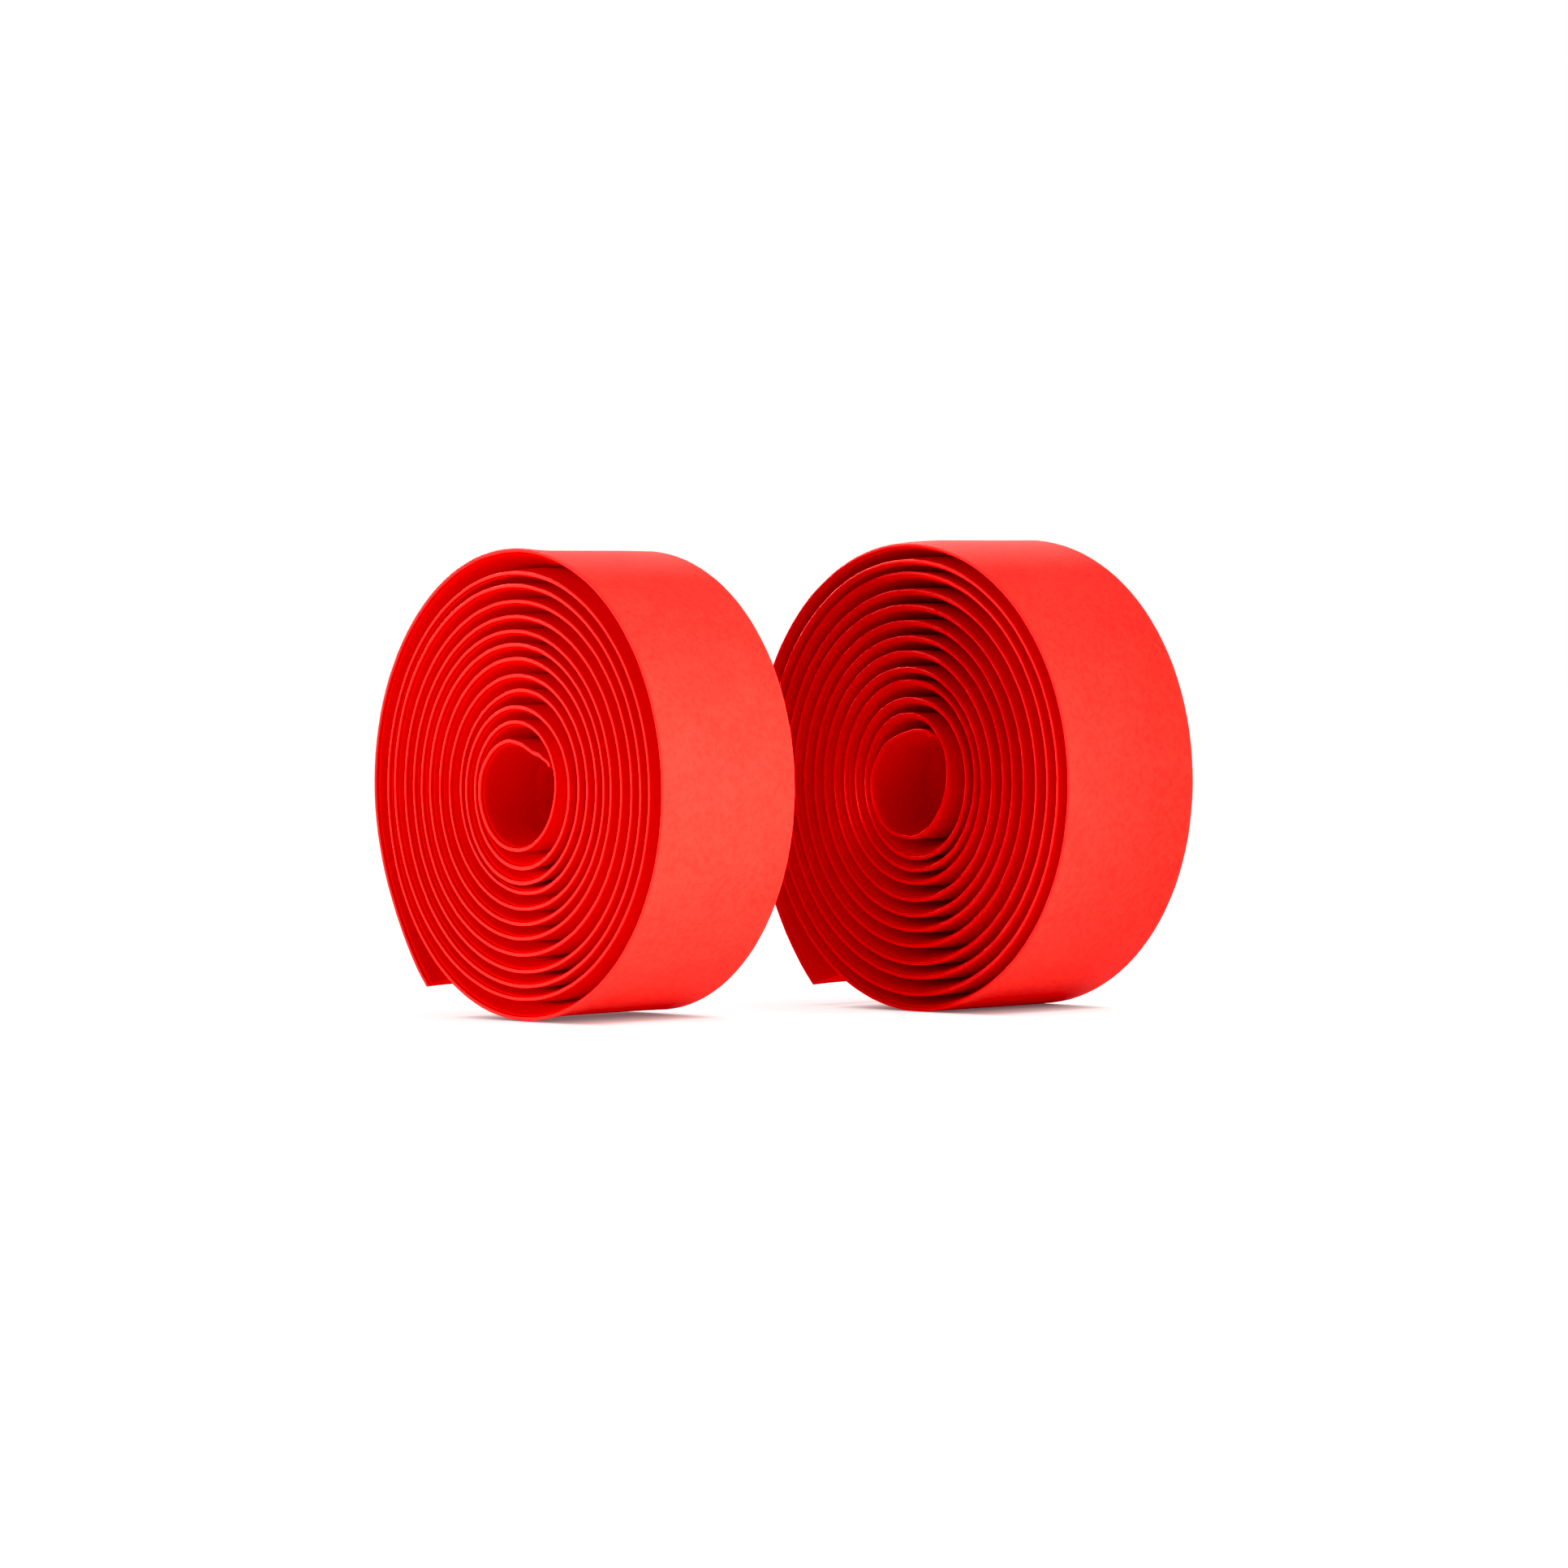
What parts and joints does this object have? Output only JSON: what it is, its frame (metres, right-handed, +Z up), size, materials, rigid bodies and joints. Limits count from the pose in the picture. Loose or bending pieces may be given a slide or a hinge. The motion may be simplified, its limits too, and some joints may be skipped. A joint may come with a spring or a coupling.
{
  "type": "handlebar tape rolls",
  "caption": "Pair of rolls of red padded handlebar tape, each wound as a flat spiral with an open eye and a loose outer end, standing on edge side by side.",
  "frame": {"origin": "centre of the pair's bounding box in plan, on the surface the rolls stand on", "axes": "+X along the pair's long side, +Y along both roll axes from the first roll to the second, +Z up"},
  "size_m": [0.1236, 0.0914, 0.0857],
  "materials": {
    "facing": "matt microfibre with a faint mottled nap",
    "foam": "matt closed-cell foam, thinned towards both edges",
    "gel": "smooth, slightly glossy grip strip"
  },
  "bodies": {
    "first_roll": {"first_facing": "facing", "first_foam_backing": "foam", "first_gel_strip": "gel"},
    "first_tail": {"first_tail_facing": "facing", "first_tail_foam_backing": "foam", "first_tail_gel_strip": "gel"},
    "second_roll": {"second_facing": "facing", "second_foam_backing": "foam", "second_gel_strip": "gel"},
    "second_tail": {"second_tail_facing": "facing", "second_tail_foam_backing": "foam", "second_tail_gel_strip": "gel"}
  },
  "joints": [
    {"name": "first_tail_flex", "type": "hinge", "parent": "first_roll", "child": "first_tail", "pos_m": [-0.05964, -0.03075, 0.02761], "axis": [0, 1, 0], "range_deg": [-3, 75], "stiffness_Nm_per_rad": 0.004},
    {"name": "second_roll_lift", "type": "slide", "parent": "first_roll", "child": "second_roll", "axis": [0, 0, 1], "range_m": [0, 0.1]},
    {"name": "second_tail_flex", "type": "hinge", "parent": "second_roll", "child": "second_tail", "pos_m": [-0.02315, 0.03075, 0.02826], "axis": [0, 1, 0], "range_deg": [-3, 75], "stiffness_Nm_per_rad": 0.004}
  ]
}
